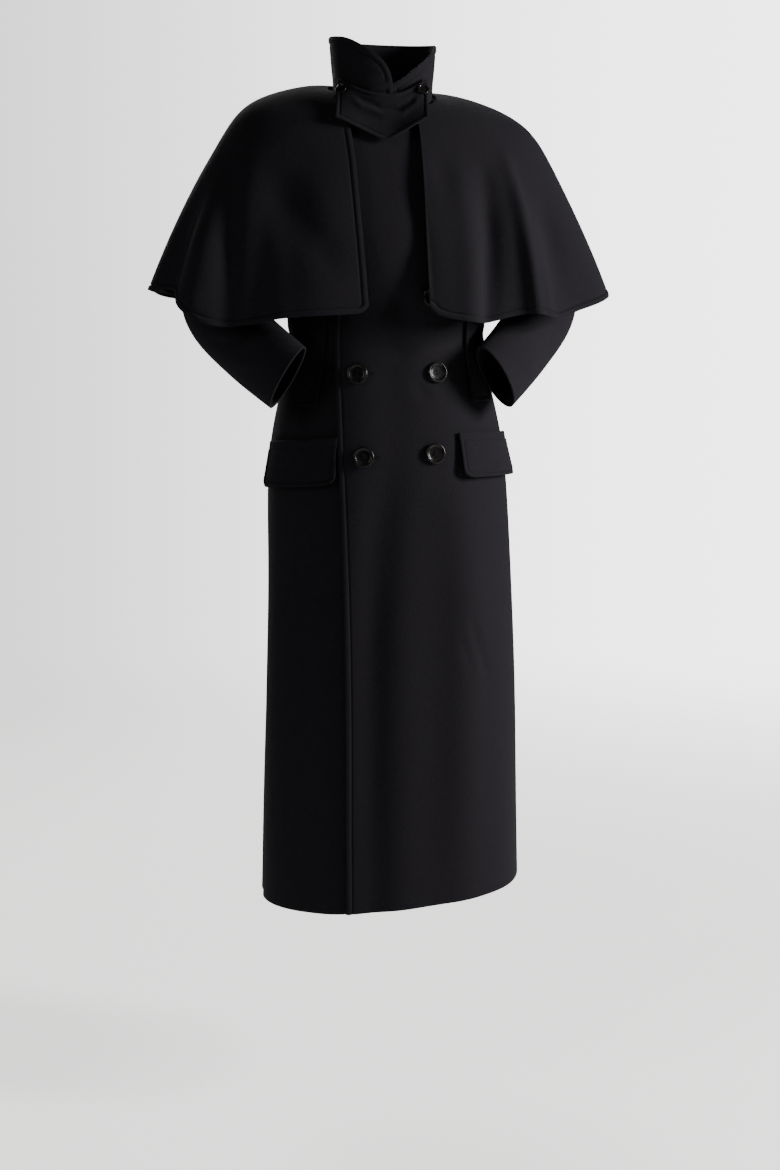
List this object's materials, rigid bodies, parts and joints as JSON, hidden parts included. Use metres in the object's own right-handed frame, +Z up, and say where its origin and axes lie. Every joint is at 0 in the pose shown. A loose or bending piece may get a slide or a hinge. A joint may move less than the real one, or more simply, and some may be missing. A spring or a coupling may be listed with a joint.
{
  "type": "double-breasted cape coat",
  "caption": "Long double-breasted wool coat in its worn form: hollow body, bent sleeves, open shoulder cape, stand-up collar with a throat tab, flap pockets.",
  "frame": {"origin": "middle of the neck opening, level with the neck seam, where the coat hangs from the wearer's shoulders", "axes": "+Z up, -Y to the coat's front, +X to the wearer's left"},
  "size_m": [0.7067, 0.3841, 1.3286],
  "materials": {
    "wool": "matt felted black wool",
    "button": "polished black"
  },
  "bodies": {
    "root": {"front_left": "wool", "front_right": "wool", "back": "wool", "sleeve_left": "wool", "sleeve_right": "wool", "cape_front_left": "wool", "cape_front_right": "wool", "cape_back": "wool", "collar": "wool", "throat_tab": "wool", "welt_left": "wool", "welt_right": "wool", "pocket_jet_left": "wool", "pocket_jet_right": "wool", "pocket_flap_left": "wool", "pocket_flap_right": "wool", "front_button_left_1": "button", "front_button_left_2": "button", "front_button_left_3": "button", "front_button_right_1": "button", "front_button_right_2": "button", "front_button_right_3": "button", "tab_button_left": "button", "tab_button_right": "button"}
  },
  "joints": []
}
